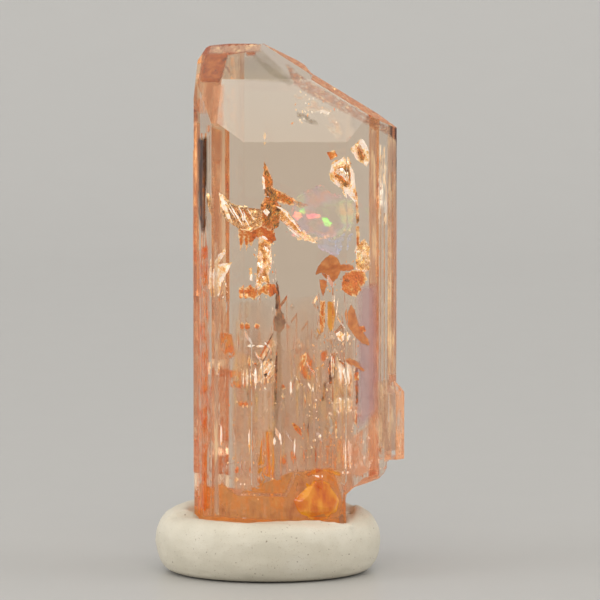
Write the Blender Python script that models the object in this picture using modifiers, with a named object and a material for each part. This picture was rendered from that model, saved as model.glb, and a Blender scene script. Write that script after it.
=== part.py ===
"""A topaz crystal standing in a pressed disc of mounting putty.

The crystal is one orthorhombic prism with a lopsided wedge on top, thin growth
columns on its faces, a smaller crystal grown onto its right side and a broken,
iron-stained foot. Metres, +Z up, the viewer on the -Y side. The origin is the
middle of the whole object's footprint, on the surface that it stands on.
"""

import math
import random

import bmesh
import bpy
from mathutils import Matrix, Vector, noise

MM = 0.001

# Driving dimensions of the crystal, in millimetres. Places are relative to its own upright axis.
CRYSTAL_AXIS_X = 0.727
HALF_WIDTH = 4.65
HALF_DEPTH = 2.60
FRONT_HALF_WIDTH = 2.35
SHOULDER_X = 3.82
RIDGE_HEIGHT = 24.38
RIDGE_Y = 0.33
DOME_FOOT_HEIGHT = 20.07
DOME_BREAK = (0.0, -1.15, 22.84)
DOME_RISE = 27.6
UPPER_DOME_RISE = 46.3
BACK_DOME_RISE = 66.5
LEFT_CORNER_X = -3.36
LEFT_CORNER_AZIMUTH = 23
PRISM_FLANK_ANGLE = 32.2
PRISM_SIDE_ANGLE = 62.1
LEFT_FLANK_ANGLE = 20.0

# Small faces that blunt the wedge's ends: (azimuth, rise, a point on the face). Azimuth 0 faces the viewer.
SMALL_CORNER_FACES = (
    (-90, 6.0, (-HALF_WIDTH, 0, 21.9)),
    (-90, 34.5, (-4.45, 0.5, 23.62)),
    (-150, 34, (-3.3, 2.3, 22.6)),
    (150, 26, (2.9, 2.3, 20.9)),
)

# The long slope that falls away to the right, in two levels with a small step between them.
SLOPE_ANGLE = 30.7
SLOPE_START = (0.51, 0.0, 23.15)
SLOPE_STEP_X = 0.60
SLOPE_STEP_DROP = 0.20

# The broken foot rises towards the back, and the right corner above the putty is broken away.
FOOT_FRONT_HEIGHT = 1.90
FOOT_RISE_ANGLE = 13.0
BREAK_OUTLINE = (
    (2.12, 3.90),
    (2.50, 4.24),
    (3.10, 4.38),
    (3.62, 4.46),
    (3.92, 4.66),
    (4.12, 4.95),
    (4.16, 5.35),
)
BREAK_REACH = 7.0
BREAK_HALF_DEPTH = 4.0
BREAK_ROUGHNESS = 0.16
BREAK_SECTIONS = 12

# Growth columns on the lower half of the broad faces. Each row: how many, how far they stand proud,
# the range of their tips' heights, the height of their feet, and the seed that they are drawn with.
COLUMN_ROWS = {
    "front": (10, (0.05, 0.17), (7.0, 14.6), 4.2, 21),
    "back": (9, (0.05, 0.16), (5.5, 13.5), 4.6, 7),
}
COLUMN_ROOT = 0.5
COLUMN_TIP_CUT = 0.8
COLUMN_FOOT_CUT = 0.3
COLUMN_EDGE_CUT = 0.05

# Fine growth ridges on the narrow side faces.
RIDGE_COUNT = 4
RIDGE_PROUD = 0.045
SIDE_RIDGE_FEET = {"left": 3.1, "right": 5.9}
SIDE_RIDGE_TIPS = {"left": 20.4, "right": 19.4}

# Diamond-shaped etch pits in the lower half of the crystal.
PIT_COUNT = 14
PIT_SEED = 5
PIT_RADIUS = (0.14, 0.34)
PIT_DEPTH = 0.16
PIT_HEIGHTS = (4.6, 13.0)
PIT_STRETCH = 1.7

# The smaller crystals grown onto the right side.
# Each: (axis x, axis y, radius, foot, shoulder, tip, stretch in depth).
SIDE_CRYSTALS = (
    (4.34, -0.35, 0.71, 5.22, 8.25, 8.85, 1.25),
    (3.55, 1.35, 0.62, 6.20, 9.30, 10.3, 1.05),
)
SIDE_CRYSTAL_SIDES = 8

# The lump of stained topaz at the front of the foot.
LUMP_CENTRE = (0.98, -2.42, 3.62)
LUMP_RADII = (1.12, 0.62, 0.98)
LUMP_ROUGHNESS = 0.14
LUMP_PROUD = 0.33
LUMP_FOOT_HEIGHT = 2.86

# Driving dimensions of the putty disc, in millimetres.
PUTTY_CENTRE_X = -0.533
PUTTY_HALF_WIDTH = 5.32
PUTTY_HALF_DEPTH = 4.70
PUTTY_TOP_HEIGHT = 2.95
PUTTY_SEGMENTS = 24
PUTTY_RINGS = (
    # share of the radius, share of the height
    (0.74, 0.0),
    (0.86, 0.0),
    (0.955, 0.13),
    (1.0, 0.50),
    (0.965, 0.80),
    (0.85, 1.0),
    (0.66, 1.01),
    (0.40, 0.97),
)
PUTTY_BACK_LIP = 0.75
PUTTY_BACK_LIP_WIDTH = 2.6
PUTTY_WOBBLE = 0.10
SEAT_GAP = 0.25


def mm(*values):
    """A point or a size given in millimetres, in metres."""
    return Vector(values) * MM


def face_normal(azimuth, rise):
    """A face's outward normal. Azimuth 0 faces the viewer and 90 faces right; rise is above the horizontal."""
    turn, lift = math.radians(azimuth), math.radians(rise)
    return Vector((math.sin(turn) * math.cos(lift), -math.cos(turn) * math.cos(lift), math.sin(lift)))


def prism_faces():
    """The upright faces of the main prism: (azimuth, rise, a point on it in millimetres)."""
    flank_y = HALF_DEPTH - (SHOULDER_X - FRONT_HALF_WIDTH) * math.tan(math.radians(PRISM_FLANK_ANGLE))
    left_y = HALF_DEPTH - (SHOULDER_X - FRONT_HALF_WIDTH) * math.tan(math.radians(LEFT_FLANK_ANGLE))
    return [
        (0, 0, (0, -HALF_DEPTH, 0)),
        (180, 0, (0, HALF_DEPTH, 0)),
        (-90, 0, (-HALF_WIDTH, 0, 0)),
        (90, 0, (HALF_WIDTH, 0, 0)),
        (PRISM_FLANK_ANGLE, 0, (FRONT_HALF_WIDTH, -HALF_DEPTH, 0)),
        (PRISM_SIDE_ANGLE, 0, (SHOULDER_X, -flank_y, 0)),
        (180 - PRISM_FLANK_ANGLE, 0, (FRONT_HALF_WIDTH, HALF_DEPTH, 0)),
        (180 - PRISM_SIDE_ANGLE, 0, (SHOULDER_X, flank_y, 0)),
        (-LEFT_FLANK_ANGLE, 0, (-FRONT_HALF_WIDTH, -HALF_DEPTH, 0)),
        (-PRISM_SIDE_ANGLE, 0, (-SHOULDER_X, -left_y, 0)),
        (PRISM_FLANK_ANGLE - 180, 0, (-FRONT_HALF_WIDTH, HALF_DEPTH, 0)),
        (PRISM_SIDE_ANGLE - 180, 0, (-SHOULDER_X, flank_y, 0)),
    ]


def wedge_faces():
    """The faces of the lopsided wedge on top, given in the same way."""
    return [
        (0, DOME_RISE, (0, -HALF_DEPTH, DOME_FOOT_HEIGHT)),
        (0, UPPER_DOME_RISE, DOME_BREAK),
        (180, BACK_DOME_RISE, (0, RIDGE_Y, RIDGE_HEIGHT)),
        (90, 90 - SLOPE_ANGLE, SLOPE_START),
        (-LEFT_CORNER_AZIMUTH, DOME_RISE, (LEFT_CORNER_X, *DOME_BREAK[1:])),
        (-LEFT_CORNER_AZIMUTH, UPPER_DOME_RISE, (LEFT_CORNER_X, *DOME_BREAK[1:])),
        *SMALL_CORNER_FACES,
    ]


def foot_face():
    """The broken underside."""
    return (180, FOOT_RISE_ANGLE - 90, (0, -HALF_DEPTH, FOOT_FRONT_HEIGHT))


def cut_by_plane(bm, point, normal):
    """Takes away what lies outside a plane, and closes the cut with one flat face."""
    geometry = bm.verts[:] + bm.edges[:] + bm.faces[:]
    cut = bmesh.ops.bisect_plane(bm, geom=geometry, plane_co=point, plane_no=normal, clear_outer=True)
    rim = [item for item in cut["geom_cut"] if isinstance(item, bmesh.types.BMEdge)]
    if rim:
        bmesh.ops.edgeloop_fill(bm, edges=rim)


def object_from(bm, name, collection, helper=False):
    """Turns a bmesh into an object. A helper is only cut away from another, or joined to it."""
    bmesh.ops.recalc_face_normals(bm, faces=bm.faces)
    mesh = bpy.data.meshes.new(name)
    bm.to_mesh(mesh)
    bm.free()
    made = bpy.data.objects.new(name, mesh)
    collection.objects.link(made)
    if helper:
        made.hide_render = True
        made.display_type = "WIRE"
    return made


def box_between(low, high):
    """A bmesh box from one corner to the other, in millimetres."""
    bm = bmesh.new()
    bmesh.ops.create_cube(bm, size=1.0)
    low, high = Vector(low), Vector(high)
    place = Matrix.Translation((low + high) / 2 * MM) @ Matrix.Diagonal(((high - low) * MM).to_4d())
    bmesh.ops.transform(bm, matrix=place, verts=bm.verts)
    return bm


def prism_and_wedge(collection):
    """The main crystal: a block cut down by each of its faces."""
    bm = box_between((-6, -4, 1), (6, 4, 26))
    for azimuth, rise, point in [*prism_faces(), *wedge_faces(), foot_face()]:
        cut_by_plane(bm, mm(*point), face_normal(azimuth, rise))
    return object_from(bm, "topaz_crystal", collection)


def growth_column(name, left, right, foot, tip, outer_y, root_y, collection):
    """A flat upright ledge on the front or back face, with slanting ends."""
    low, high = min(outer_y, root_y), max(outer_y, root_y)
    bm = box_between((left, low, foot), (right, high, tip))
    azimuth = 0 if outer_y < root_y else 180
    middle = (left + right) / 2
    edge_side = 1 if azimuth == 0 else -1
    cut_by_plane(bm, mm(middle, outer_y, tip - COLUMN_TIP_CUT), face_normal(azimuth + 38, 24))
    cut_by_plane(bm, mm(middle, outer_y, foot + COLUMN_FOOT_CUT), face_normal(azimuth - 20, -38))
    cut_by_plane(bm, mm(right - COLUMN_EDGE_CUT, outer_y, 0), face_normal(azimuth + edge_side * 40, 0))
    return object_from(bm, name, collection, helper=True)


def growth_columns(collection):
    """The rows of ledges on the front and the back face, with sizes that vary by chance."""
    for face, (count, proud, tips, foot, seed) in COLUMN_ROWS.items():
        chance = random.Random(seed)
        outward = -1 if face == "front" else 1
        pitch = 2 * FRONT_HALF_WIDTH / count
        for index in range(count):
            left = -FRONT_HALF_WIDTH + (index + chance.uniform(0.02, 0.10)) * pitch
            right = left + pitch * chance.uniform(0.55, 0.88)
            tip = chance.uniform(*tips)
            outer = outward * (HALF_DEPTH + chance.uniform(*proud))
            root = outer - outward * COLUMN_ROOT
            low = foot + chance.uniform(-0.5, 0.5)
            growth_column(f"{face}_column_{index}", left, right, low, tip, outer, root, collection)


def side_ridges(collection):
    """Thin three-sided ridges that run up the narrow prism faces at both sides, front and back."""
    flank_y = HALF_DEPTH - (SHOULDER_X - FRONT_HALF_WIDTH) * math.tan(math.radians(PRISM_FLANK_ANGLE))
    for side, sign in (("left", -1), ("right", 1)):
        for facing, depth_sign in (("front", -1), ("back", 1)):
            start = Vector((sign * SHOULDER_X, depth_sign * flank_y))
            end = Vector((sign * HALF_WIDTH, depth_sign * 0.1))
            along = (end - start).normalized()
            outward = Vector((along.y, -along.x)) * (sign * -depth_sign)
            if side == "left" and facing == "front":
                start += outward * 0.36
            for index in range(RIDGE_COUNT):
                share = (index + 0.6) / (RIDGE_COUNT + 0.2)
                crest = start.lerp(end, share) + outward * RIDGE_PROUD
                width = 0.10 + 0.05 * (index % 2)
                low = SIDE_RIDGE_FEET[side] + 0.5 * index
                high = SIDE_RIDGE_TIPS[side] - 0.9 * ((index * 3) % RIDGE_COUNT)
                bm = box_between((-width, -0.5, low), (width, 0.5, high))
                turn = math.atan2(along.y, along.x)
                place = Matrix.Translation(mm(*(crest - outward * 0.5), 0)) @ Matrix.Rotation(turn, 4, "Z")
                bmesh.ops.transform(bm, matrix=place, verts=bm.verts)
                object_from(bm, f"{side}_{facing}_ridge_{index}", collection, helper=True)


def side_crystals(collection):
    """The smaller crystals on the right, each an eight-sided prism with a blunt tip."""
    for index, (x, y, radius, foot, shoulder, tip, squash) in enumerate(SIDE_CRYSTALS):
        bm = bmesh.new()
        length = tip - foot
        wide = radius * MM
        bmesh.ops.create_cone(
            bm, cap_ends=True, segments=SIDE_CRYSTAL_SIDES, radius1=wide, radius2=wide, depth=length * MM
        )
        turn = Matrix.Rotation(math.pi / SIDE_CRYSTAL_SIDES, 4, "Z")
        shape = Matrix.Diagonal((1.0, squash, 1.0, 1.0))
        place = Matrix.Translation(mm(x, y, foot + length / 2))
        bmesh.ops.transform(bm, matrix=place @ shape @ turn, verts=bm.verts)
        for azimuth in (70, 110, 20, 160, -60):
            edge = mm(x, y, tip) + face_normal(azimuth, 0) * radius * 0.35 * MM
            cut_by_plane(bm, edge, face_normal(azimuth, 48))
        cut_by_plane(bm, mm(x, y, foot + 0.02), face_normal(90, -84))
        cut_by_plane(bm, mm(x + radius, y, shoulder), face_normal(90, 40))
        object_from(bm, f"side_crystal_{index}", collection, helper=True)


def stained_lump(collection):
    """A rough lump of crystal that stands out at the front of the foot."""
    bm = bmesh.new()
    bmesh.ops.create_icosphere(bm, subdivisions=2, radius=1.0)
    for vert in bm.verts:
        vert.co *= 1.0 + LUMP_ROUGHNESS * noise.noise(vert.co * 1.9 + Vector((3.1, 0.4, 5.2)))
    place = Matrix.Translation(mm(*LUMP_CENTRE)) @ Matrix.Diagonal((*[r * MM for r in LUMP_RADII], 1.0))
    bmesh.ops.transform(bm, matrix=place, verts=bm.verts)
    x, _, z = LUMP_CENTRE
    cut_by_plane(bm, mm(x, -HALF_DEPTH - LUMP_PROUD, z), face_normal(12, 16))
    cut_by_plane(bm, mm(x - 0.55, -HALF_DEPTH - 0.10, z + 0.4), face_normal(-38, 34))
    cut_by_plane(bm, mm(0, 0, LUMP_FOOT_HEIGHT), face_normal(0, -90))
    return object_from(bm, "stained_lump", collection, helper=True)


def broken_corner(collection):
    """The cutter for the corner that broke off above the putty: an outline drawn through the depth."""
    below = [(BREAK_REACH, BREAK_OUTLINE[-1][1]), (BREAK_REACH, -1.0), (BREAK_OUTLINE[0][0], -1.0)]
    outline = [*BREAK_OUTLINE, *below]
    bm = bmesh.new()
    front = bm.faces.new([bm.verts.new(mm(x, -BREAK_HALF_DEPTH, z)) for x, z in outline])
    made = bmesh.ops.extrude_face_region(bm, geom=[front])
    moved = [item for item in made["geom"] if isinstance(item, bmesh.types.BMVert)]
    bmesh.ops.translate(bm, vec=mm(0, 2 * BREAK_HALF_DEPTH, 0), verts=moved)
    for index in range(1, BREAK_SECTIONS):
        section_y = BREAK_HALF_DEPTH * (2 * index / BREAK_SECTIONS - 1)
        geometry = bm.verts[:] + bm.edges[:] + bm.faces[:]
        bmesh.ops.bisect_plane(bm, geom=geometry, plane_co=mm(0, section_y, 0), plane_no=(0, 1, 0))
    for vert in bm.verts:
        ripple = noise.noise_vector(vert.co / MM * 0.9 + Vector((11.0, 2.0, 7.0))) * BREAK_ROUGHNESS * MM
        away = Vector((ripple.x, 0.0, ripple.z)) + Vector((1, 0, 0)) * 0.10 * abs(vert.co.y)
        vert.co += away
    return object_from(bm, "broken_corner", collection, helper=True)


def etch_pits(collection):
    """The cutters for the pits: blunt four-sided points, sunk by chance into the front and the back face."""
    chance = random.Random(PIT_SEED)
    for index in range(PIT_COUNT):
        radius = chance.uniform(*PIT_RADIUS)
        x = chance.uniform(-FRONT_HALF_WIDTH + 0.3, FRONT_HALF_WIDTH - 0.3)
        outward = -1 if index % 2 == 0 else 1
        bm = bmesh.new()
        bmesh.ops.create_cone(
            bm, cap_ends=True, segments=4, radius1=radius * MM, radius2=radius * 0.3 * MM, depth=2 * PIT_DEPTH * MM
        )
        inward = Matrix.Rotation(outward * math.pi / 2, 4, "X")
        stretch = Matrix.Diagonal((1.0, 1.0, PIT_STRETCH, 1.0))
        place = Matrix.Translation(mm(x, outward * HALF_DEPTH, chance.uniform(*PIT_HEIGHTS)))
        bmesh.ops.transform(bm, matrix=place @ stretch @ inward, verts=bm.verts)
        object_from(bm, f"etch_pit_{index}", collection, helper=True)


def slope_step(collection):
    """The cutter that lowers the right-hand part of the long slope by one growth step."""
    bm = box_between((0, -5, 0), (9, 5, 2))
    start_x, _, start_z = SLOPE_START
    drop = math.tan(math.radians(SLOPE_ANGLE))
    height = start_z - (SLOPE_STEP_X - start_x) * drop - SLOPE_STEP_DROP
    place = Matrix.Translation(mm(SLOPE_STEP_X, 0, height)) @ Matrix.Rotation(math.radians(SLOPE_ANGLE), 4, "Y")
    skew = Matrix.Rotation(math.radians(7.0), 4, "Z")
    bmesh.ops.transform(bm, matrix=place @ skew, verts=bm.verts)
    return object_from(bm, "slope_step", collection, helper=True)


def seat_cutter(collection):
    """The hollow that the crystal's foot is pressed into: the foot's own faces, moved out by the gap."""
    bm = box_between((-6, -4, 1), (FRONT_HALF_WIDTH + SEAT_GAP + 0.1, 4, 6))
    for azimuth, rise, point in [*prism_faces(), foot_face()]:
        normal = face_normal(azimuth, rise)
        cut_by_plane(bm, mm(*point) + normal * SEAT_GAP * MM, normal)
    return object_from(bm, "seat_cutter", collection, helper=True)


def topaz_material():
    """Pale peach, see-through and glossy."""
    made = bpy.data.materials.new("topaz")
    made.use_nodes = True
    shader = made.node_tree.nodes["Principled BSDF"]
    shader.inputs["Base Color"].default_value = (0.86, 0.58, 0.42, 1.0)
    shader.inputs["Roughness"].default_value = 0.04
    shader.inputs["Metallic"].default_value = 0.0
    shader.inputs["IOR"].default_value = 1.62
    shader.inputs["Transmission Weight"].default_value = 1.0
    return made


def putty_material():
    """Off-white and nearly matt."""
    made = bpy.data.materials.new("putty")
    made.use_nodes = True
    shader = made.node_tree.nodes["Principled BSDF"]
    shader.inputs["Base Color"].default_value = (0.66, 0.62, 0.52, 1.0)
    shader.inputs["Roughness"].default_value = 0.55
    shader.inputs["Metallic"].default_value = 0.0
    return made


def boolean(target, operation, other, name):
    """Adds a Boolean modifier that joins or cuts target by an object or a collection."""
    modifier = target.modifiers.new(name, "BOOLEAN")
    modifier.operation = operation
    modifier.solver = "EXACT"
    if isinstance(other, bpy.types.Collection):
        modifier.operand_type = "COLLECTION"
        modifier.collection = other
        modifier.use_self = True
    else:
        modifier.object = other


def topaz_crystal(parts, growths, pits, cutters):
    """The whole crystal as one solid."""
    crystal = prism_and_wedge(parts)
    growth_columns(growths)
    side_ridges(growths)
    side_crystals(growths)
    stained_lump(growths)
    etch_pits(pits)
    boolean(crystal, "UNION", growths, "grown on")
    boolean(crystal, "DIFFERENCE", pits, "etch pits")
    boolean(crystal, "DIFFERENCE", broken_corner(cutters), "broken corner")
    boolean(crystal, "DIFFERENCE", slope_step(cutters), "slope step")
    crystal.data.materials.append(topaz_material())
    return crystal


def putty_base(parts, seat):
    """The disc of putty: rings of one outline bridged into a skin, smoothed, and pressed in by the crystal's foot."""
    bm = bmesh.new()
    rings = []
    for share, height in PUTTY_RINGS:
        made = bmesh.ops.create_circle(bm, segments=PUTTY_SEGMENTS, radius=1.0)
        shape = Matrix.Diagonal((PUTTY_HALF_WIDTH * share * MM, PUTTY_HALF_DEPTH * share * MM, 1.0, 1.0))
        place = Matrix.Translation(mm(PUTTY_CENTRE_X, 0, height * PUTTY_TOP_HEIGHT))
        bmesh.ops.transform(bm, matrix=place @ shape, verts=made["verts"])
        rings.append([edge for edge in bm.edges if all(vert in made["verts"] for vert in edge.verts)])
    for lower, upper in zip(rings, rings[1:]):
        bmesh.ops.bridge_loops(bm, edges=lower + upper)
    bmesh.ops.edgeloop_fill(bm, edges=rings[0])
    bmesh.ops.edgeloop_fill(bm, edges=rings[-1])
    for vert in bm.verts:
        if vert.co.z < 0.1 * MM:
            continue
        upward = vert.co.z / (PUTTY_TOP_HEIGHT * MM)
        across = (vert.co.x - CRYSTAL_AXIS_X * MM + 1.2 * MM) / (PUTTY_BACK_LIP_WIDTH * MM)
        behind = max(0.0, (vert.co.y - 1.0 * MM) / (2.2 * MM))
        lip = PUTTY_BACK_LIP * math.exp(-across * across) * min(1.0, behind) * max(0.0, upward - 0.5) * 2
        wobble = PUTTY_WOBBLE * noise.noise(vert.co / MM * 0.35 + Vector((0.7, 4.0, 2.0)))
        vert.co.z += (lip + wobble * upward) * MM
    putty = object_from(bm, "putty_base", parts)
    smooth = putty.modifiers.new("soft form", "SUBSURF")
    smooth.levels = smooth.render_levels = 1
    boolean(putty, "DIFFERENCE", seat, "crystal seat")
    putty.data.materials.append(putty_material())
    return putty


def clear_scene():
    """Removes the startup objects."""
    for old in list(bpy.data.objects):
        bpy.data.objects.remove(old)


def main():
    clear_scene()
    parts = bpy.data.collections.new("topaz crystal on putty")
    growths = bpy.data.collections.new("growths")
    pits = bpy.data.collections.new("pits")
    cutters = bpy.data.collections.new("cutters")
    for made in (parts, growths, pits, cutters):
        bpy.context.scene.collection.children.link(made)
    crystal = topaz_crystal(parts, growths, pits, cutters)
    seat = seat_cutter(cutters)
    putty_base(parts, seat)
    shift = mm(CRYSTAL_AXIS_X, 0, 0)
    for moved in (crystal, *growths.objects, *pits.objects, *cutters.objects):
        moved.location = shift


main()
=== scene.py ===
"""The looks of a topaz crystal on its mounting putty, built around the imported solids.

Metres, +Z up, the viewer on the -Y side. Sizes below are in millimetres and are turned
into metres by mm(). What lies inside the crystal is placed by the pixel of the photograph
that shows it, through Sight, which bends the line of sight as the crystal does.
"""

import math
import random

import bmesh
import bpy
from mathutils import Euler, Matrix, Vector, noise
from mathutils.bvhtree import BVHTree
from mathutils.geometry import intersect_point_line


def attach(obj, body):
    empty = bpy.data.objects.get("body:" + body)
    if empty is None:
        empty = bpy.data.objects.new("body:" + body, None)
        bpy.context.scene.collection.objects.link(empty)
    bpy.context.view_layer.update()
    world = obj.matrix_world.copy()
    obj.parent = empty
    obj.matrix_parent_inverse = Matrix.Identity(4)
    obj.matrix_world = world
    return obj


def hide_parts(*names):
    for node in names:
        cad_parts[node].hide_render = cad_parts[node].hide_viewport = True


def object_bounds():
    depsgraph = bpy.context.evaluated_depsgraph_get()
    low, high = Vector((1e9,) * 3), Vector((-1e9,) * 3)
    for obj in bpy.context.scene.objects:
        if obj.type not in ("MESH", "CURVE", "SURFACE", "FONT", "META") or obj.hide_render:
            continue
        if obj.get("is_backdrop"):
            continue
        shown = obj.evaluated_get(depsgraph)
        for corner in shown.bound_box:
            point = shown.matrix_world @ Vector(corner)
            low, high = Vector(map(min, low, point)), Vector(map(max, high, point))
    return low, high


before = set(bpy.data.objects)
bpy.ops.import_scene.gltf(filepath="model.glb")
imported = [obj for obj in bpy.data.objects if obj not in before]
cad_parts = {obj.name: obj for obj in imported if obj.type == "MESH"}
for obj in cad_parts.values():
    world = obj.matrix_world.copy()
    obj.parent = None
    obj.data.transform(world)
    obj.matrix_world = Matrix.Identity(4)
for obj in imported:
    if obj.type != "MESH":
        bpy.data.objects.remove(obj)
cad_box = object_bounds()

MM = 0.001
METRE = 1000.0
FULL_TURN = 6.28

# Corners of a solid's mesh that lie nearer than this, in metres, are one.
SAME_PLACE = 1e-7

# The camera looks along +Y, a little downwards, from far away, as a close-up lens does.
CAMERA_DISTANCE = 300.0
CAMERA_ELEVATION = 6.4
VIEW_HEIGHT = 27.6
VIEW_CENTRE = (0.943, 0.0, 12.56)
SENSOR = 36.0
PHOTO_SIDE = 600.0
PIXEL = VIEW_HEIGHT / PHOTO_SIDE

# Topaz bends light by this much, and the prism's faces are plain and upright at this height.
TOPAZ_IOR = 1.62
CLEAR_HEIGHT = 17.0

# What a white light keeps in deep topaz, and how soon it gets there.
TOPAZ_COLOUR = (0.97, 0.585, 0.14, 1.0)
TOPAZ_DENSITY = 98.0

# The sheets inside the crystal: how thick they are, how near to a face they may come, and how deep
# a corner lies where its line of sight misses the crystal.
SHEET_THICKNESS = 0.02
SHALLOWEST = 0.04
BESIDE_DEPTH = 0.1

# Their folds and their wavy rims, as lengths in the photograph's pixels, and how far a rim strays.
WIDE_FOLD = 13
FINE_FOLD = 5
FINE_FOLD_SHARE = 0.6
RIM_WAVE = 2.2
RAGGED_SHEET = 1.2
RAGGED_SLIVER = 0.7
DIVISIONS = 6

# The putty: the grain of its remeshed body, the middle of the disc and how much narrower it is from
# front to back, the ring round its top that is pressed down, and its lumps, as how often they come
# in each millimetre and how high they are.
PUTTY_GRAIN = 0.11
PUTTY_MIDDLE = 0.727
PUTTY_NARROWER = 1.5
RING_RADIUS = 5.0
RING_WIDTH = 2.2
PRESSED_ABOVE = 2.3
PRESSED_SHARE = 0.45
FLAT_BELOW = 0.3
PUTTY_LUMPS = ((0.5, 0.05), (1.7, 0.025), (5.0, 0.008))

# The collar of putty round the crystal: its lower and upper height, and how thick it is.
COLLAR_HEIGHTS = (2.1, 2.72)
COLLAR_THICKNESS = 0.3


def mm(*values):
    """A point or a size given in millimetres, in metres."""
    return Vector(values) * MM


class Wire:
    """One output in a material's node tree, with the arithmetic that Math nodes do."""

    def __init__(self, shader, socket):
        self.shader = shader
        self.socket = socket

    def _math(self, operation, *values):
        return self.shader.node("ShaderNodeMath", {"operation": operation}, values)

    def __add__(self, other):
        return self._math("ADD", self, other)

    def __sub__(self, other):
        return self._math("SUBTRACT", self, other)

    def __mul__(self, other):
        return self._math("MULTIPLY", self, other)

    def __radd__(self, other):
        return self._math("ADD", other, self)

    def over(self, low, high):
        """0 at low and 1 at high, with a smooth change between them. Low may be the larger."""
        values = {"Value": self, "From Min": low, "From Max": high}
        return self.shader.node("ShaderNodeMapRange", {"interpolation_type": "SMOOTHSTEP"}, values)


class Shader:
    """A material whose one Principled surface is set by name."""

    def __init__(self, name, **plain):
        self.material = bpy.data.materials.new(name)
        self.material.use_nodes = True
        self.tree = self.material.node_tree
        self.surface = self.tree.nodes["Principled BSDF"]
        self.place = self.node("ShaderNodeTexCoord", {}, {}, "Object")
        for socket, value in plain.items():
            self.set(self.surface, socket.replace("_", " "), value)

    def set(self, node, name, value):
        socket = node.inputs[name]
        if isinstance(value, Wire):
            self.tree.links.new(value.socket, socket)
        elif isinstance(value, tuple) and len(value) == 3 and socket.type == "RGBA":
            socket.default_value = (*value, 1.0)
        else:
            socket.default_value = value

    def node(self, kind, settings=None, values=None, output=0):
        """A new node: its settings first, then the values or links of its sockets."""
        made = self.tree.nodes.new(kind)
        for key, value in (settings or {}).items():
            if key == "stops":
                ramp = made.color_ramp
                while len(ramp.elements) < len(value):
                    ramp.elements.new(0.5)
                for element, (position, colour) in zip(ramp.elements, value):
                    element.position = position
                    element.color = (*linear(*colour), 1.0)
            else:
                setattr(made, key, value)
        pairs = values.items() if isinstance(values, dict) else enumerate(values or [])
        for name, value in pairs:
            self.set(made, name, value)
        return Wire(self, made.outputs[output])

    def paint(self, **varying):
        """Feeds what changes over the surface into the Principled sockets."""
        for socket, value in varying.items():
            self.set(self.surface, socket.replace("_", " "), value)
        return self.material

    def stretched(self, x, y, z, offset=(0.0, 0.0, 0.0), place=None):
        """The place on the piece in units of x, y and z millimetres."""
        scale = (METRE / x, METRE / y, METRE / z)
        values = {"Vector": place or self.place, "Scale": scale, "Location": offset}
        return self.node("ShaderNodeMapping", {}, values)

    def turned(self, degrees, x, y, z):
        """Like stretched, first turned clockwise as the viewer sees it."""
        turn = (0.0, math.radians(degrees), 0.0)
        spun = self.node("ShaderNodeMapping", {}, {"Vector": self.place, "Rotation": turn})
        return self.stretched(x, y, z, place=spun)

    def along(self, axis):
        """How far along X, Y or Z the place is, in millimetres."""
        return self.node("ShaderNodeSeparateXYZ", {}, [self.place], axis) * METRE

    def attribute(self, name):
        return self.node("ShaderNodeAttribute", {"attribute_name": name}, {}, "Fac")

    def noise(self, where, detail=3.0, roughness=0.5, scale=1.0, distortion=0.0):
        values = {"Vector": where, "Scale": scale, "Detail": detail, "Roughness": roughness}
        return self.node("ShaderNodeTexNoise", {}, values | {"Distortion": distortion}, "Fac")

    def ramp(self, value, *stops):
        """A colour by value. Each stop is a position and a colour as 0 to 255 on screen."""
        return self.node("ShaderNodeValToRGB", {"stops": stops}, [value], "Color")

    def mix(self, factor, first, second):
        """The first colour where factor is 0, and the plain second one where it is 1."""
        made = self.tree.nodes.new("ShaderNodeMix")
        made.data_type = "RGBA"
        for name, value in (("Factor_Float", factor), ("A_Color", first), ("B_Color", second)):
            socket = next(item for item in made.inputs if item.identifier == name)
            if isinstance(value, Wire):
                self.tree.links.new(value.socket, socket)
            else:
                socket.default_value = (*linear(*value), 1.0)
        return Wire(self, next(item for item in made.outputs if item.identifier == "Result_Color"))

    def bump(self, height, strength, distance):
        values = {"Height": height, "Strength": strength, "Distance": distance * MM}
        return self.node("ShaderNodeBump", {}, values)


def linear(red, green, blue):
    """A colour given as 0 to 255 on screen, in the renderer's own linear values."""
    shares = (red / 255, green / 255, blue / 255)
    return tuple(((share + 0.055) / 1.055) ** 2.4 if share > 0.04 else share / 12.92 for share in shares)


def finished(bm, name, material, smooth=False, outward=True):
    """Closes a bmesh into an object of the scene."""
    if outward:
        bmesh.ops.recalc_face_normals(bm, faces=bm.faces)
    mesh = bpy.data.meshes.new(name)
    bm.to_mesh(mesh)
    bm.free()
    mesh.materials.append(material)
    if smooth:
        mesh.shade_smooth()
    made = bpy.data.objects.new(name, mesh)
    bpy.context.scene.collection.objects.link(made)
    return made


def belongs(piece, slot, *nodes):
    """The piece rides on the object's one body and stands for these nodes, which it hides. slot is not
    used.
    """
    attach(piece, "root")
    if nodes:
        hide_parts(*nodes)
    return piece


def merged(node):
    """A copy of a solid's mesh with its loose triangles joined into whole faces."""
    bm = bmesh.new()
    bm.from_mesh(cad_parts[node].data)
    bmesh.ops.remove_doubles(bm, verts=bm.verts, dist=SAME_PLACE)
    return bm


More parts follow.
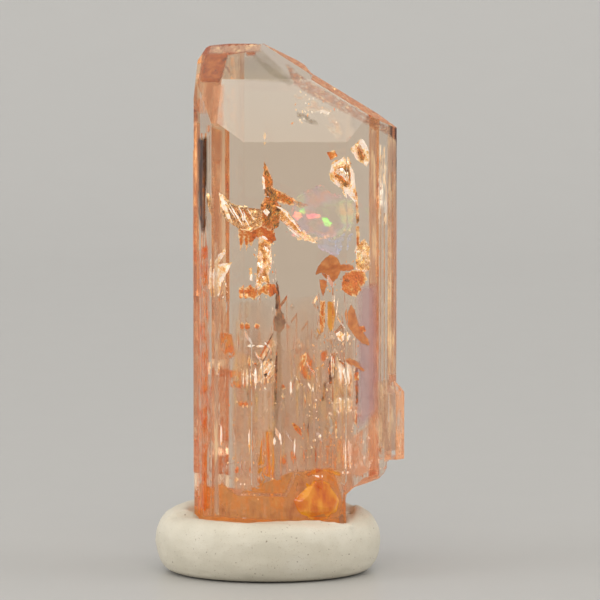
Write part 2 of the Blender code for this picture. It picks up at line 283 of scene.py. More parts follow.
class Sight:
    """Where in the crystal lies what the photograph shows at one of its pixels.

    A line of sight leaves the camera, meets the crystal and is bent as it goes in.
    Depths are in millimetres behind the face, along +Y.
    """

    def __init__(self):
        bm = merged("topaz_crystal")
        bmesh.ops.scale(bm, vec=(1 / MM, 1 / MM, 1 / MM), verts=bm.verts)
        self.tree = BVHTree.FromBMesh(bm)
        bm.free()
        lift = math.radians(CAMERA_ELEVATION)
        self.ahead = Vector((0.0, math.cos(lift), -math.sin(lift)))
        self.up = Vector((0.0, math.sin(lift), math.cos(lift)))
        self.eye = Vector(VIEW_CENTRE) - self.ahead * CAMERA_DISTANCE

    def line(self, x, y):
        middle = PHOTO_SIDE / 2
        across = Vector(((x - middle) * PIXEL, 0.0, 0.0))
        return (Vector(VIEW_CENTRE) + across + self.up * ((middle - y) * PIXEL) - self.eye).normalized()

    def inside(self, x, y, depth):
        """The place behind the prism's plain upright faces."""
        line = self.line(x, y)
        level = Vector((line.x, line.y, 0.0)).normalized()
        spot, normal, _, _ = self.tree.ray_cast(Vector((*self.eye.xy, CLEAR_HEIGHT)), level)
        normal = Vector((*normal.xy, 0.0)).normalized()
        entry = self.eye + line * ((spot - self.eye).dot(normal) / line.dot(normal))
        return self.beyond(entry, line, normal, depth)

    def under(self, x, y, depth):
        """The place just under the surface that really lies there.

        Where the line of sight misses the crystal, it is under the nearest surface beside it.
        """
        line = self.line(x, y)
        spot, normal, _, _ = self.tree.ray_cast(self.eye, line)
        if spot is None:
            spot, normal, _, _ = self.tree.find_nearest(self.eye - line * (self.eye.y / line.y))
            return spot - normal * min(depth, BESIDE_DEPTH)
        return self.beyond(spot, line, normal, depth)

    @staticmethod
    def beyond(entry, line, normal, depth):
        """The place at this depth on the line that is bent where it enters."""
        ratio = 1 / TOPAZ_IOR
        square_on = -line.dot(normal)
        bent = line * ratio + normal * (ratio * square_on - math.sqrt(1 - ratio**2 * (1 - square_on**2)))
        return entry + bent * (depth / bent.y)


sight = Sight()


def set_camera():
    """The camera at the photograph's viewing angle."""
    data = bpy.data.cameras.new("camera")
    camera = bpy.data.objects.new("camera", data)
    bpy.context.scene.collection.objects.link(camera)
    camera.location = sight.eye * MM
    camera.rotation_euler = (math.pi / 2 - math.radians(CAMERA_ELEVATION), 0.0, 0.0)
    data.sensor_width = SENSOR
    data.sensor_fit = "HORIZONTAL"
    data.lens = SENSOR * CAMERA_DISTANCE / VIEW_HEIGHT
    data.clip_start = 0.001
    bpy.context.scene.camera = camera


def area_light(name, place, aim, size, power, colour=(1.0, 1.0, 1.0)):
    """A soft rectangular studio light, in millimetres."""
    data = bpy.data.lights.new(name, "AREA")
    data.shape = "RECTANGLE"
    data.size, data.size_y = (side * MM for side in size)
    data.energy = power
    data.color = colour
    light = bpy.data.objects.new(name, data)
    bpy.context.scene.collection.objects.link(light)
    light.location = mm(*place)
    light.rotation_euler = (mm(*aim) - light.location).to_track_quat("-Z", "Y").to_euler()


def set_stage():
    """The floor that curves up into a plain pale backdrop, the even light and the soft lights."""
    bm = bmesh.new()
    bmesh.ops.create_grid(bm, x_segments=1, y_segments=1, size=1.0)
    bmesh.ops.transform(bm, matrix=Matrix.Diagonal((0.5, 0.25, 1.0, 1.0)), verts=bm.verts)
    back = [edge for edge in bm.edges if all(vert.co.y > 0.2 for vert in edge.verts)]
    made = bmesh.ops.extrude_edge_only(bm, edges=back)
    top = [item for item in made["geom"] if isinstance(item, bmesh.types.BMVert)]
    bmesh.ops.translate(bm, vec=(0.0, 0.1, 0.5), verts=top)
    bmesh.ops.bevel(
        bm, geom=back, offset=0.12, offset_type="OFFSET", affect="EDGES",
        segments=12, profile=0.5, material=-1,
    )
    floor = finished(bm, "studio_floor", studio_paper(), smooth=True)
    floor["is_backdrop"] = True
    world = bpy.data.worlds.new("studio")
    world.use_nodes = True
    bpy.context.scene.world = world
    nodes, links = world.node_tree.nodes, world.node_tree.links
    facing = nodes.new("ShaderNodeSeparateXYZ")
    links.new(nodes.new("ShaderNodeTexCoord").outputs["Generated"], facing.inputs[0])
    dark_room = nodes.new("ShaderNodeValToRGB")
    dark_room.color_ramp.elements[0].position = 0.05
    dark_room.color_ramp.elements[0].color = (0.50, 0.49, 0.475, 1.0)
    dark_room.color_ramp.elements[1].position = 0.45
    dark_room.color_ramp.elements[1].color = (1.0, 0.985, 0.955, 1.0)
    half = nodes.new("ShaderNodeMath")
    half.operation = "MULTIPLY_ADD"
    half.inputs[1].default_value = half.inputs[2].default_value = 0.5
    links.new(facing.outputs["Y"], half.inputs[0])
    links.new(half.outputs[0], dark_room.inputs[0])
    links.new(dark_room.outputs[0], nodes["Background"].inputs["Color"])
    nodes["Background"].inputs["Strength"].default_value = 1.0
    area_light("left_box", (-190, -70, 90), (0, 0, 12), (150, 150), 0.18)
    area_light("right_box", (190, -30, 100), (0, 0, 12), (130, 130), 0.12)
    area_light("front_box", (0, -131, 163), (0, 0, 12), (160, 120), 0.12, (1.0, 0.93, 0.80))


def studio_paper():
    """The pale grey of the floor and backdrop, with painted light: darker near the front and lighter
    towards the back, to even out how the lamps' light falls off.
    """
    shader = Shader("studio_paper", Roughness=0.32)
    tooth = shader.noise(shader.stretched(3.0, 3.0, 3.0)) * 0.08
    # Painted light: the colour grows lighter towards the back, where less lamp light falls.
    far = shader.along("Y").over(0.0, 240.0) * 0.92
    return shader.paint(Base_Color=shader.ramp(tooth + far, (0.0, (176, 175, 173)), (1.0, (204, 203, 201))))


# Colours, as 0 to 255 on screen.
WHITE = (255, 250, 240)
CREAM = (246, 222, 178)
GOLD = (214, 156, 74)
PALE_GOLD = (232, 192, 122)
ORANGE = (216, 124, 44)
DEEP_ORANGE = (216, 104, 4)
RED_ORANGE = (212, 98, 40)
OCHRE = (196, 134, 34)
PEACH = (222, 166, 120)
OLIVE = (132, 110, 66)
BROWN = (128, 80, 40)
DARK_BROWN = (54, 32, 18)
SMOKE = (158, 140, 112)


def topaz_glass():
    """Clear peach topaz, finely striped along its length, more so towards the foot."""
    shader = Shader("topaz_glass", IOR=TOPAZ_IOR, Roughness=0.0)
    shader.set(shader.surface, "Base Color", (1.0, 1.0, 1.0))
    shader.set(shader.surface, "Transmission Weight", 1.0)
    height = shader.along("Z")
    broad = shader.noise(shader.stretched(0.55, 0.55, 9.0), detail=2.0)
    fine = shader.noise(shader.stretched(0.14, 0.14, 4.0), detail=3.0, roughness=0.6)
    ridged = height.over(13.5, 8.5) * 0.9 + 0.1
    shader.paint(Normal=shader.bump((broad * 0.75 + fine * 0.25) * ridged, 0.5, 0.05))
    absorb = shader.tree.nodes.new("ShaderNodeVolumeAbsorption")
    absorb.inputs["Color"].default_value = TOPAZ_COLOUR
    absorb.inputs["Density"].default_value = TOPAZ_DENSITY
    output = shader.tree.nodes["Material Output"]
    shader.tree.links.new(absorb.outputs["Volume"], output.inputs["Volume"])
    return shader.material


def foil(name, *stops, grain=(0.3, 0.3, 0.5), turn=0.0, edge=0.12, glow=0.12, metal=0.85):
    """A healed crack: folded like leaf metal, in streaky patches, with a broken paler rim that is a painted
    highlight.
    """
    # Emission by glow is painted light: the crack glows though it is no lamp.
    shader = Shader(name, Metallic=metal, Emission_Strength=glow)
    where = shader.turned(turn, *grain)
    patches = shader.noise(where, detail=3.0, roughness=0.6)
    glint = shader.attribute("glint")
    rim = shader.attribute("rim").over(edge, 0.0) * patches.over(0.42, 0.55)
    # Painted highlights and shade: each facet's glint tone and the paler rim push the stain's colour
    # towards the cream and white stops, and the dark brown stops stand partly for painted shade.
    colour = shader.ramp(patches * 1.3 + glint * 0.3 + rim * 0.4 - 0.35, *stops)
    return shader.paint(Base_Color=colour, Emission_Color=colour, Roughness=glint * 0.25 + 0.12)


def film(name, *stops, grain=(0.5, 0.5, 1.4), cover=(0.42, 0.62), most=0.85, fade=0.15, glow=0.38):
    """A thin film inside the crystal, patchy and see-through, fading out towards its rim. Most films are
    stains; some stand for painted shade and painted highlights.
    """
    # Emission by glow is painted light: the film glows though it is no lamp.
    shader = Shader(name, Roughness=0.5, Emission_Strength=glow)
    tone = shader.noise(shader.stretched(*grain, offset=(3.1, 7.7, 1.3)), detail=4.0, roughness=0.6)
    patchy = shader.noise(shader.stretched(*grain), detail=4.0, roughness=0.62)
    rim = shader.attribute("rim").over(0.0, fade)
    colour = shader.ramp(tone, *stops)
    return shader.paint(Base_Color=colour, Emission_Color=colour, Alpha=patchy.over(*cover) * rim * most)


def rainbow_film(name, *stops, most=0.3, fade=0.12, cover=(0.36, 0.62), glow=0.5):
    """A hair-thin open crack that shows the colours of a soap film, in drifting patches."""
    # Emission by glow is painted light: the crack glows though it is no lamp.
    shader = Shader(name, Roughness=0.2, Emission_Strength=glow)
    drift = shader.noise(shader.stretched(1.15, 1.15, 0.8, offset=(4.0, 0.0, 2.4)), detail=2.5)
    hue = shader.ramp(drift, *stops)
    speckle = shader.noise(shader.stretched(0.16, 0.16, 0.16), detail=3.0, roughness=0.6)
    patchy = shader.noise(shader.stretched(0.9, 0.9, 0.6), detail=2.0)
    rim = shader.attribute("rim")
    edge = rim.over(0.2, 0.02) * speckle.over(0.50, 0.60)
    alpha = rim.over(0.0, fade) * patchy.over(*cover) * most + edge * 0.5
    return shader.paint(Base_Color=hue, Emission_Color=hue, Alpha=alpha)


def growth_streaks(number, *tones):
    """Upright growth streaks: thin lines of three tones along the crystal, which fade out upwards.

    Layers with a higher number have wider lines and fade out lower down.
    """
    # Emission of 0.3 is painted light: the streaks glow though they are no lamp.
    shader = Shader(f"growth_streaks_{number}", Roughness=0.45, Emission_Strength=0.3)
    across = 0.22 + 0.06 * number
    length = 2.6
    lines = shader.noise(shader.stretched(across, 3.0, length), detail=3.0, roughness=0.55)
    tone = shader.noise(shader.stretched(across * 2.4, 3.0, length * 0.7, offset=(5.0, 1.0, 9.0)))
    breaks = shader.noise(shader.stretched(0.35, 1.0, 0.6), detail=4.0, roughness=0.65)
    colour = shader.ramp(tone * 0.75 + breaks * 0.25, *zip((0.36, 0.5, 0.62), tones))
    rim = shader.attribute("rim").over(0.0, 0.25)
    alpha = lines.over(0.48, 0.66) * breaks.over(0.34, 0.58) * rim * 0.42
    patches = shader.noise(shader.stretched(1.3, 3.0, 3.0, offset=(2.0, 0.0, 6.0)), detail=2.0)
    alpha = alpha * (shader.along("Z") + patches * 9.0).over(18.0 - number, 13.5)
    return shader.paint(Base_Color=colour, Emission_Color=colour, Alpha=alpha)


def spark_skin():
    """Tiny facets with painted glints: each facet's drawn tone picks a colour from brown, painted shade, to
    white, a painted highlight, and they glow with painted light; they also catch real light.
    """
    shader = Shader("spark_skin", Roughness=0.25, Emission_Strength=0.6)
    patches = shader.noise(shader.stretched(0.12, 0.12, 0.12), detail=2.0)
    colour = shader.ramp(
        shader.attribute("glint") + patches * 0.2 - 0.1,
        (0.0, BROWN),
        (0.25, ORANGE),
        (0.5, GOLD),
        (0.72, CREAM),
        (0.9, WHITE),
    )
    return shader.paint(Base_Color=colour, Emission_Color=colour)


def putty_skin():
    """Off-white putty, satin, with tan and grey specks and small pressed marks."""
    shader = Shader("putty_skin", Roughness=0.5)
    cloud = shader.noise(shader.stretched(1.6, 1.6, 1.2), detail=4.0)
    body = shader.ramp(cloud, (0.3, (202, 195, 177)), (0.55, (210, 203, 186)), (0.75, (216, 210, 195)))
    fine = shader.noise(shader.stretched(0.07, 0.07, 0.07), detail=2.0, roughness=0.7)
    dark = shader.noise(shader.stretched(0.13, 0.13, 0.13, offset=(9.0, 2.0, 5.0)), detail=1.0)
    tan = shader.mix(fine.over(0.60, 0.72) * 0.55, body, (176, 158, 130))
    specked = shader.mix(dark.over(0.72, 0.78) * 0.8, tan, (120, 100, 80))
    height = cloud * 0.5 + fine * 0.15
    return shader.paint(
        Base_Color=specked,
        Roughness=0.42 + cloud * 0.2,
        Normal=shader.bump(height, 0.5, 0.12),
    )


def scattered(draw, fields):
    """The place of each thing in these fields, with the last value of its field."""
    for left, right, high, low, near, far, count, last in fields:
        for _ in range(count):
            spot = sight.inside(draw.uniform(left, right), draw.uniform(high, low), draw.uniform(near, far))
            yield spot, last


def set_down(draw, spot, lean_x, lean_y, *sides):
    """The matrix that puts a shape at a place, leaning by up to these angles and turned anyhow."""
    turn = Euler((draw.uniform(-lean_x, lean_x), draw.uniform(-lean_y, lean_y), draw.uniform(0, FULL_TURN)))
    place = Matrix.Translation(spot) @ turn.to_matrix().to_4x4() @ Matrix.Diagonal((*sides, 1.0))
    return Matrix.Scale(MM, 4) @ place


def add_cavities(bm):
    """Tiny hollow tubes and diamonds left in the crystal as it grew. Their faces look into the hollow."""
    draw = random.Random(11)
    for spot, length in scattered(draw, CAVITY_FIELDS):
        tall = draw.uniform(*length)
        wide = draw.uniform(0.03, 0.07)
        matrix = set_down(draw, spot, 0.12, 0.12, wide, wide * 0.5, tall / 2)
        made = bmesh.ops.create_icosphere(bm, subdivisions=1, radius=1.0, matrix=matrix)
        faces = {face for vert in made["verts"] for face in vert.link_faces}
        bmesh.ops.reverse_faces(bm, faces=list(faces))


def crystal():
    """The crystal: a copy of the solid with its loose triangles merged, and its tiny hollows."""
    bm = merged("topaz_crystal")
    bmesh.ops.dissolve_limit(bm, angle_limit=math.radians(0.5), verts=bm.verts, edges=bm.edges)
    bmesh.ops.recalc_face_normals(bm, faces=bm.faces)
    add_cavities(bm)
    return belongs(finished(bm, "crystal", topaz_glass(), outward=False), "topaz", "topaz_crystal")


def rim_distance(spot, outline):
    """How far a place is from the nearest side of an outline, in the outline's own units."""
    nearest = math.inf
    for start, end in zip(outline, outline[1:] + outline[:1]):
        closest, share = intersect_point_line(spot, start, end)
        closest = start if share < 0 else end if share > 1 else closest
        nearest = min(nearest, (closest - spot).length)
    return nearest


def inclusion(name, material, depth, lean=(0.0, 0.0), crumple=0.06, grain=3.0, under=False, outline=None):
    """A thin crumpled sheet in the crystal, with its own outline in the photograph or this other one.

    Depth is in millimetres behind the prism's upright faces or, with under, below the surface that
    is seen there. Lean is how much deeper it lies for each millimetre to the right and upwards.
    """
    bm = new_sheets()
    outline = outline or OUTLINES[name]
    add_sheet(bm, random.Random(name), outline, depth, lean, crumple, grain, under, RAGGED_SHEET)
    return thin_piece(bm, name, material)


def thin_piece(bm, name, material, outward=True):
    """Closes thin sheets into one piece of the crystal."""
    made = finished(bm, name, material, outward=outward)
    wall = made.modifiers.new("thickness", "SOLIDIFY")
    wall.thickness = SHEET_THICKNESS * MM
    wall.offset = 0.0
    return belongs(made, "topaz")


def strokes(name, material, depth, lines):
    """Many narrow slivers in one piece. Each is given by its two ends and its width in the photograph."""
    draw = random.Random(name)
    bm = new_sheets()
    for x, y, end_x, end_y, wide in lines:
        start, end = Vector((x, y)), Vector((end_x, end_y))
        side = (end - start).orthogonal().normalized() * wide / 2
        early, late = start.lerp(end, draw.uniform(0.2, 0.4)), start.lerp(end, draw.uniform(0.6, 0.8))
        outline = (start, early + side, late + side, end, late - side, early - side)
        lean = (draw.uniform(-0.8, 0.8), draw.uniform(-0.3, 0.3))
        deep = depth + draw.uniform(-0.3, 0.3)
        add_sheet(bm, draw, outline, deep, lean, crumple=0.05, grain=3.0, under=False, ragged=RAGGED_SLIVER)
    return thin_piece(bm, name, material)


def new_sheets():
    """A mesh for sheets, which records how far each corner is from its rim, in millimetres, whether
    it is in its place yet, and a random glint tone for each facet, which the foils paint as glints."""
    bm = bmesh.new()
    bm.verts.layers.float.new("rim")
    bm.verts.layers.int.new("placed")
    bm.faces.layers.float.new("glint")
    return bm


def add_sheet(bm, draw, outline, depth, lean, crumple, grain, under, ragged):
    """Adds one crumpled sheet, as inclusion() describes it."""
    rim = bm.verts.layers.float["rim"]
    glint = bm.faces.layers.float["glint"]
    placed = bm.verts.layers.int["placed"]
    corners = [Vector((x, 0.0, y)) for x, y in outline]
    middle = sum(corners, Vector()) / len(corners)
    outer = bm.faces.new([bm.verts.new(corner) for corner in corners])
    bmesh.ops.triangulate(bm, faces=[outer])
    for _ in range(DIVISIONS):
        long = [edge for edge in bm.edges if edge.calc_length() > grain]
        bmesh.ops.subdivide_edges(bm, edges=long, cuts=1)
        bmesh.ops.triangulate(bm, faces=[face for face in bm.faces if len(face.verts) > 3])
    place = sight.under if under else sight.inside
    shift = Vector((draw.uniform(0, 50), draw.uniform(0, 50), draw.uniform(0, 50)))
    fresh = [face for face in bm.faces if not face.verts[0][placed]]
    for vert in [vert for vert in bm.verts if not vert[placed]]:
        spot = vert.co.copy()
        vert[rim] = rim_distance(spot, corners) * PIXEL
        if vert.is_boundary:
            spot.x += ragged * noise.noise(spot / RIM_WAVE + shift)
            spot.z += ragged * noise.noise(spot / RIM_WAVE - shift)
        fold = noise.noise(spot / WIDE_FOLD + shift)
        fold += FINE_FOLD_SHARE * noise.noise(spot / FINE_FOLD + shift)
        tilt = lean[0] * (spot.x - middle.x) * PIXEL + lean[1] * (middle.z - spot.z) * PIXEL
        vert.co = place(spot.x, spot.z, max(depth + tilt + crumple * fold, SHALLOWEST)) * MM
        vert[placed] = 1
    for face in fresh:
        face[glint] = draw.random()


def skin(name, keep, material, depth):
    """A stained film that follows those of the crystal's faces that keep() picks.

    It lies this deep under them or, where depth is less than zero, that far outside.
    """
    bm = merged("topaz_crystal")
    rim = bm.verts.layers.float.new("rim")
    glint = bm.faces.layers.float.new("glint")
    bmesh.ops.recalc_face_normals(bm, faces=bm.faces)
    other = [face for face in bm.faces if not keep(face.calc_center_median() / MM, face.normal)]
    bmesh.ops.delete(bm, geom=other, context="FACES")
    bm.normal_update()
    moved = {vert: vert.co - vert.normal * depth * MM for vert in bm.verts}
    for vert, spot in moved.items():
        vert.co = spot
        vert[rim] = 1.0
    for face in bm.faces:
        face[glint] = 0.5
    return thin_piece(bm, name, material, outward=False)


def sparks():
    """The many tiny facets in the crystal with painted glints, as one mesh."""
    draw = random.Random(5)
    bm = bmesh.new()
    glint = bm.faces.layers.float.new("glint")
    for spot, shine in scattered(draw, SPARK_FIELDS):
        tall = draw.uniform(0.03, 0.13)
        wide = draw.uniform(0.02, 0.05)
        made = bmesh.ops.create_cube(bm, size=1.0, matrix=set_down(draw, spot, 0.5, 0.7, wide, wide, tall))
        tone = min(max(draw.gauss(shine, 0.22), 0.0), 1.0)
        for face in {face for vert in made["verts"] for face in vert.link_faces}:
            face[glint] = tone
    return belongs(finished(bm, "sparks", spark_skin()), "topaz")


# The lump of stained topaz at the front of the foot: its middle, its reach, and where it meets the prism.
LUMP_CENTRE = (1.707, -2.42, 3.62)
LUMP_REACH = (1.3, 0.85, 1.15)
LUMP_BACK = -2.63

# Fields of hollows: left, right, top and bottom in the photograph, nearest and farthest depth,
# how many, and their lengths.
CAVITY_FIELDS = (
    (228, 300, 330, 515, 0.5, 4.4, 60, (0.3, 1.6)),
    (300, 346, 300, 480, 0.5, 4.4, 60, (0.3, 1.6)),
    (350, 372, 400, 480, 0.6, 2.6, 14, (0.2, 0.9)),
    (216, 228, 260, 500, 0.6, 2.2, 14, (0.3, 1.2)),
    (252, 276, 262, 345, 0.8, 4.0, 20, (0.2, 0.7)),
)

# Fields of sparks: left, right, top and bottom in the photograph, nearest and farthest depth,
# how many, and how bright their painted glint is.
SPARK_FIELDS = (
    (290, 340, 90, 130, 1.2, 2.6, 36, 0.72),
    (246, 276, 360, 391, 0.8, 3.0, 60, 0.62),
    (214, 228, 262, 300, 0.6, 2.0, 26, 0.7),
    (254, 276, 235, 300, 0.9, 3.0, 46, 0.68),
    (313, 345, 330, 380, 0.8, 3.2, 60, 0.66),
    (305, 335, 372, 420, 0.8, 3.2, 60, 0.7),
    (334, 350, 398, 414, 0.8, 2.4, 22, 0.95),
    (300, 345, 420, 480, 0.6, 3.0, 60, 0.5),
    (228, 300, 390, 495, 0.8, 4.0, 60, 0.55),
    (344, 372, 425, 470, 0.5, 2.4, 26, 0.7),
    (355, 372, 246, 272, 0.6, 1.8, 30, 0.55),
    (318, 356, 255, 300, 0.8, 2.2, 30, 0.5),
    (236, 262, 492, 518, 0.4, 2.0, 22, 0.8),
)

# Outlines in the photograph's pixels, by the name of the piece.
OUTLINES = {
    "star_spike": ((264, 161), (267, 167), (273, 181), (273, 196), (265, 196), (263, 180)),
    "star_right": ((266, 189), (271, 186), (284, 193), (295, 200), (309, 206), (300, 207), (287, 204),
        (272, 201)),
    "star_heart": ((261, 205), (266, 196), (274, 199), (281, 206), (281, 216), (278, 227), (269, 231),
        (261, 226)),
    "star_down": ((274, 207), (284, 211), (296, 222), (306, 233), (318, 243), (312, 243), (300, 236),
        (288, 226), (277, 217)),
    "star_left": ((219, 193), (223, 195), (231, 203), (245, 207), (262, 210), (262, 226), (250, 232),
        (238, 228), (227, 221), (221, 212), (225, 204)),
    "star_drips": ((238, 225), (252, 228), (262, 223), (273, 227), (276, 240), (268, 247), (262, 240),
        (256, 236), (251, 246), (247, 236), (240, 250)),
    "gold_column": ((259, 236), (270, 231), (272, 242), (270, 256), (272, 266), (268, 274), (270, 284),
        (263, 283), (256, 290), (257, 279), (262, 270), (262, 258), (260, 250)),
    "net_left": ((243, 290), (251, 284), (252, 292), (247, 299), (243, 298)),
    "net_middle": ((246, 297), (251, 286), (258, 289), (266, 284), (275, 284), (277, 292), (270, 297),
        (262, 293), (254, 300)),
    "dark_crack": ((277, 281), (279, 290), (280, 308), (283, 314), (286, 322), (283, 330), (279, 334),
        (274, 330), (273, 320), (276, 312), (275.5, 296)),
    "brown_tail": ((270, 344), (267, 352), (258, 366), (255, 365), (263, 353)),
    "olive_line": ((276, 331), (281, 333), (282, 370), (281, 398), (279, 413), (275, 441), (273, 441),
        (275, 412), (277, 386)),
    "feather_top": ((226, 247), (225, 254), (217, 265), (214, 263), (220, 254)),
    "feather": ((213, 269), (221, 264), (232, 262), (228, 271), (222, 281), (219, 296), (214, 297),
        (213, 282)),
    "rainbow_crack": ((291, 212), (294, 200), (303, 191), (313, 187), (322, 184), (332, 192), (341, 195),
        (352, 202), (357, 213), (353, 224), (345, 233), (335, 239), (316, 236), (299, 230)),
    "rainbow_tail": ((316, 236), (335, 239), (345, 233), (343, 246), (338, 257), (328, 254), (318, 248)),
    "upper_leaf": ((344, 157), (350, 164), (354, 174), (353, 187), (357, 201), (350, 196), (339, 187),
        (331, 181), (329, 174), (332, 165)),
    "upper_leaf_heart": ((338, 166), (345, 164), (351, 174), (350, 186), (345, 187), (337, 180),
        (334, 173)),
    "upper_leaf_fold": ((334, 170), (343, 168), (349, 177), (348, 183), (342, 176), (336, 174)),
    "side_leaf_heart": ((354, 149), (360, 145), (365, 154), (364, 161), (358, 157)),
    "side_leaf": ((350, 149), (361, 139), (367, 148), (371, 158), (367, 166), (358, 161)),
    "leaf_knob": ((327, 153), (334, 150), (338, 156), (331, 160)),
    "leaf_stalk": ((355.5, 190), (357.5, 196), (358, 210), (359, 222), (357, 224), (356, 208)),
    "lower_stalk": ((356, 226), (359, 226), (360, 251), (357, 251)),
    "pink_spot": ((292, 216), (295, 210), (301, 212), (303, 217), (297, 221)),
    "pink_trail": ((303, 214), (315, 213), (324, 215), (318, 219), (308, 219)),
    "green_spot": ((298, 209), (303, 208), (307, 212), (304, 215), (300, 213)),
    "green_patch": ((321, 218), (327, 217), (332, 223), (330, 228), (325, 227)),
    "rainbow_lower_edge": ((285, 231), (296, 232), (318, 237), (337, 232), (338, 236), (318, 241),
        (298, 240)),
    "blue_line": ((335, 238), (338, 238), (345, 232), (339, 247), (337, 254), (335, 254)),
    "orange_fan": ((314, 276), (317, 268), (321, 262), (326, 257), (331, 254), (337, 257), (341, 264),
        (351, 265), (356, 269), (349, 271), (341, 271), (338, 278), (331, 284), (329, 275), (321, 273)),
    "fan_drip": ((319, 279), (327, 280), (327, 286), (323, 298), (320, 288)),
    "cluster_right": ((343, 276), (352, 270), (364, 270), (367, 279), (362, 288), (356, 297), (348, 294),
        (342, 289)),
    "gold_sparkles": ((356, 246), (364, 239), (370, 247), (372, 268), (366, 272), (356, 270)),
    "ochre_leaf": ((327, 300), (334, 302), (336, 315), (334, 328), (330, 333), (327, 325)),
    "red_stem": ((320, 301), (325, 301), (325, 318), (323, 333), (320, 333)),
    "banana_flake": ((351, 304), (355, 310), (358, 321), (363, 332), (372, 343), (369, 346), (361, 343),
        (354, 336), (347, 326), (347, 313)),
    "second_flake": ((346, 359), (350, 358), (359, 362), (367, 370), (363, 372), (357, 368), (349, 364)),
    "red_dot": ((360, 327), (364, 326), (366, 331), (362, 333)),
    "lower_red_dot": ((354, 374), (358, 372), (359, 380), (355, 381)),
    "bent_crack": ((331, 352), (334, 352), (335, 364), (332, 384), (330, 384), (329, 370)),
    "short_crack": ((324, 383), (326, 383), (325, 394), (323, 402), (322, 401)),
    "long_crack": ((356, 368), (358, 368), (358, 404), (356, 404)),
    "squiggle": ((292, 423), (295, 424), (300, 430), (302, 436), (299, 434), (294, 428)),
    "gold_streak": ((264, 429), (274, 431), (276, 460), (274, 520), (268, 520), (270, 478), (256, 474),
        (257, 467), (266, 465)),
    "lump_glow": ((304, 490), (312, 480), (322, 478), (332, 483), (333, 500), (330, 519), (318, 523),
        (306, 519)),
    "rust_arc": ((303, 474), (315, 467), (334, 469), (344, 474), (340, 478), (322, 472), (308, 478)),
    "slope_rim": ((281, 57), (306, 78), (350, 103), (391, 127), (391, 138), (350, 117), (306, 94),
        (292, 84)),
    "top_left_stain": ((199, 83), (199, 75), (203, 58), (211, 49), (230, 48), (229, 56), (221, 84)),
    "top_edge_stain": ((244, 50), (257, 49), (257, 56), (246, 57)),
    "olive_facet": ((214, 80), (218, 57), (232, 52), (262, 48), (296, 80), (292, 84)),
    "olive_band": ((246, 52), (252, 51), (276, 68), (297, 83), (290, 88), (270, 76)),
    "right_gleam": ((378, 142), (388, 146), (388, 226), (378, 226)),
    "veil_cloud": ((291, 84), (312, 95), (330, 108), (340, 121), (346, 136), (338, 143), (326, 134),
        (318, 119), (300, 108), (292, 97)),
    "top_haze": ((206, 55), (210, 45), (262, 42), (262, 53), (232, 54)),
    "right_edge_haze": ((386, 132), (398, 140), (398, 376), (386, 376)),
    "right_flank_haze": ((368, 124), (378, 130), (378, 285), (368, 285)),
    "side_crystal_haze": ((377, 380), (388, 378), (399, 392), (399, 452), (384, 452), (377, 440)),
    "brown_sheet": ((273, 333), (277, 345), (272, 353), (266, 359), (258, 367), (255, 363), (263, 349)),
    "pink_fan": ((257, 369), (266, 361), (275, 359), (276, 380), (265, 387), (255, 381)),
    "glass_fan": ((336, 357), (341, 360), (346, 372), (347, 388), (346, 400), (340, 395), (336, 378)),
    "orange_wash": ((318, 440), (330, 434), (345, 440), (347, 470), (336, 472), (320, 466)),
    "cloud": ((331, 400), (338, 396), (346, 400), (347, 411), (338, 415), (331, 410)),
    "brown_patch": ((198, 96), (208, 95), (208, 115), (198, 115)),
    "orange_triangle": ((204, 134), (206, 124), (212, 124), (211, 134)),
    "left_dark_band": ((197, 140), (199, 135), (202, 139), (205, 135), (208, 138), (208, 180),
        (206, 200), (207, 225), (201, 238), (198, 215)),
    "left_orange_line": ((208, 135), (211, 134), (211, 190), (209, 240)),
    "peach_strip": ((212, 84), (225, 83), (225, 128), (212, 129)),
    "veil_edge": ((295, 111), (304, 113), (318, 121), (320, 127), (308, 124), (297, 118)),
    "lower_right_stain": ((357, 432), (376, 414), (378, 440), (376, 470), (360, 478), (347, 476),
        (345, 440)),
    "lilac_zone": ((354, 284), (380, 280), (380, 412), (366, 428), (354, 434)),
    "left_strip_stain": ((196, 250), (210, 240), (211, 517), (196, 517)),
    "left_flank_stain": ((213, 240), (219, 240), (220, 517), (213, 517)),
}

# The foot's stained band, which is there twice, and the field of the growth streaks.
FOOT_BAND = ((206, 487), (222, 482), (238, 494), (286, 495), (296, 470), (334, 466), (344, 500),
    (340, 519), (300, 523), (206, 517))
STREAK_FIELD = ((230, 300), (348, 290), (348, 486), (340, 505), (230, 512))

# Outlines of pieces that have only a number: painted glints, which are white highlights drawn as sheets,
# and nets of stain.
GLINTS = (
    ((262, 176), (264, 177), (265, 189), (263, 189)),
    ((219, 193), (222, 195), (226, 205), (232, 222), (228, 219), (222, 207)),
    ((279, 207), (288, 213), (297, 224), (301, 232), (294, 224), (286, 216)),
    ((263, 212), (266, 208), (270, 213), (267, 216)),
    ((249, 268), (252, 268), (252, 280), (250, 280)),
    ((336, 333), (340, 331), (345, 336), (342, 342), (338, 340)),
    ((213, 284), (219, 286), (218, 290), (213, 288)),
    ((344, 444), (346, 444), (346, 461), (345, 461)),
    ((349, 454), (351, 454), (351, 468), (349, 468)),
    ((264, 497), (266, 500), (266, 518), (264, 518)),
    ((331, 352), (333, 352), (334, 366), (333, 383), (331, 370)),
    ((207, 362), (210, 362), (210, 374), (208, 374)),
)
STAIN_NETS = (
    ((299, 354), (308, 352), (314, 360), (312, 382), (304, 380), (297, 368)),
    ((290, 383), (294, 382), (294, 398), (290, 398)),
    ((278, 462), (282, 454), (287, 452), (288, 465), (281, 466)),
    ((289, 451), (295, 448), (298, 458), (294, 468), (290, 460)),
    ((219, 331), (233, 333), (237, 357), (228, 360), (220, 350)),
    ((227, 368), (244, 371), (242, 390), (230, 388)),
    ((236, 400), (245, 401), (243, 408), (237, 407)),
    ((319, 354), (322, 350), (329, 349), (328, 358), (324, 364), (320, 361)),
    ((285, 321), (293, 328), (286, 332)),
)
